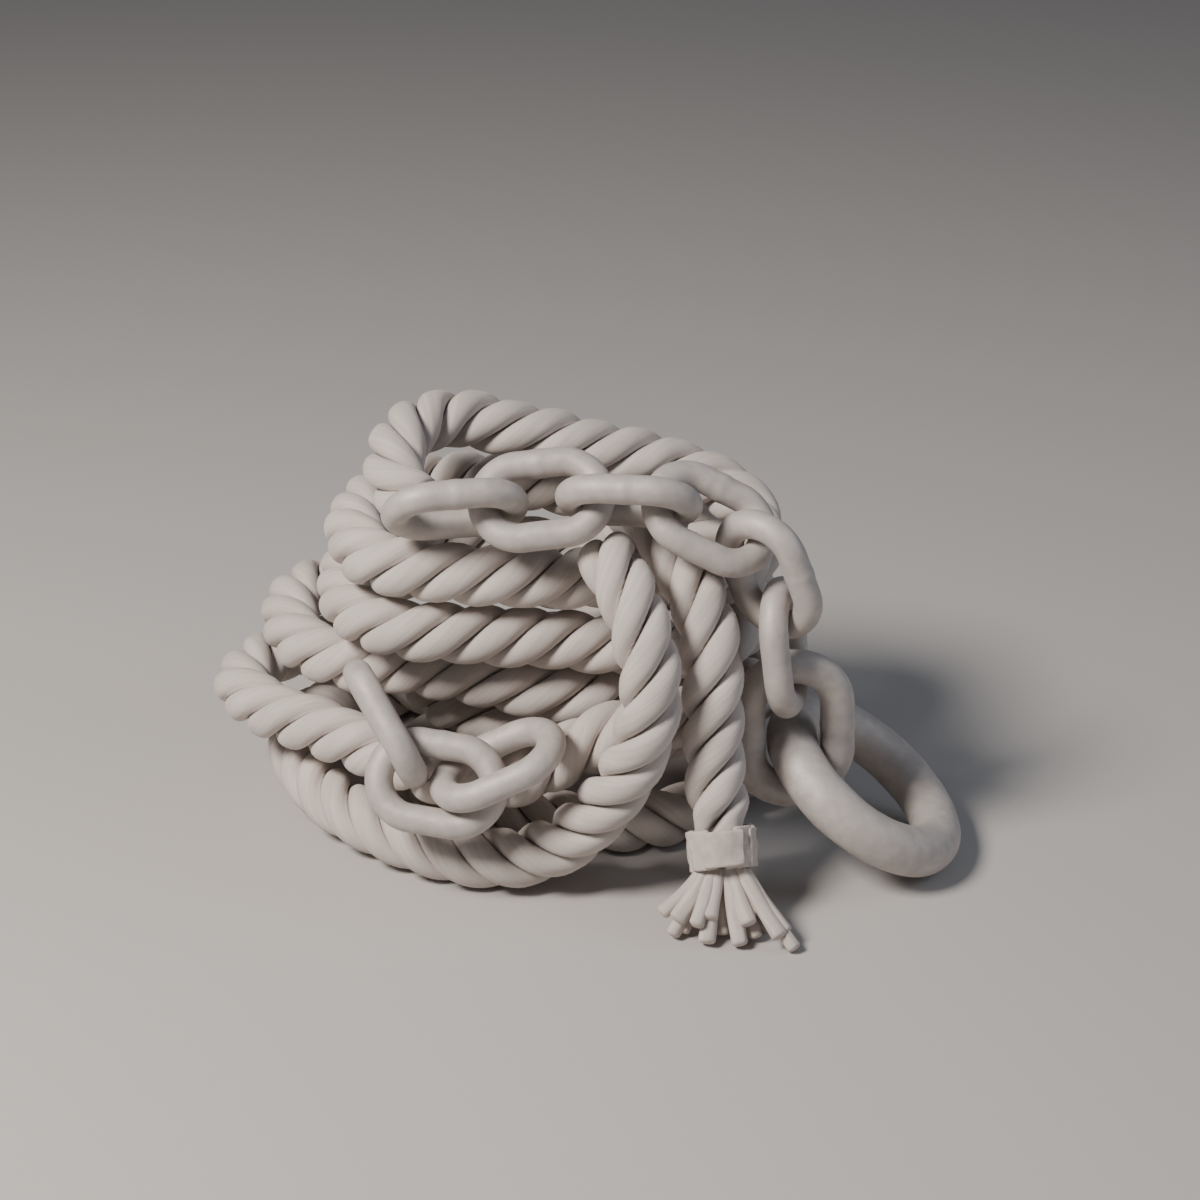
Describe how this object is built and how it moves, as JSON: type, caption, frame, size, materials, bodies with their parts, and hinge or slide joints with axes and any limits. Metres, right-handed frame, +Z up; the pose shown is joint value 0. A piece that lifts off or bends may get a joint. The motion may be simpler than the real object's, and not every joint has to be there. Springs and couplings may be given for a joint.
{
  "type": "coiled frayed rope with chain and ring",
  "caption": "Thick laid rope piled in a rough coil, its bound end frayed out in front, with a short-link chain lying over the top and ending in a heavy ring.",
  "frame": {"origin": "centre of the bounding box at the ground, z = 0", "axes": "+Z up, +X along the longest side towards the ring, -Y towards the front where the frayed end lies"},
  "size_m": [0.3938, 0.2784, 0.2208],
  "materials": {
    "rope_fibre": "matt, softly fibrous, weathered pale warm grey",
    "binding_cloth": "stiff matt cloth wrapped tight, weathered",
    "chain_metal": "dull pale grey, slightly uneven, not polished"
  },
  "bodies": {
    "root": {"stacked_rope": "rope_fibre", "frayed_rope": "rope_fibre", "frayed_strands": "rope_fibre", "end_binding": "binding_cloth", "chain_link_1": "chain_metal", "chain_link_2": "chain_metal", "chain_link_3": "chain_metal", "chain_link_4": "chain_metal", "chain_link_5": "chain_metal", "chain_link_6": "chain_metal", "end_link": "chain_metal", "loose_link_1": "chain_metal", "loose_link_2": "chain_metal", "loose_link_3": "chain_metal", "ring": "chain_metal"}
  },
  "joints": []
}
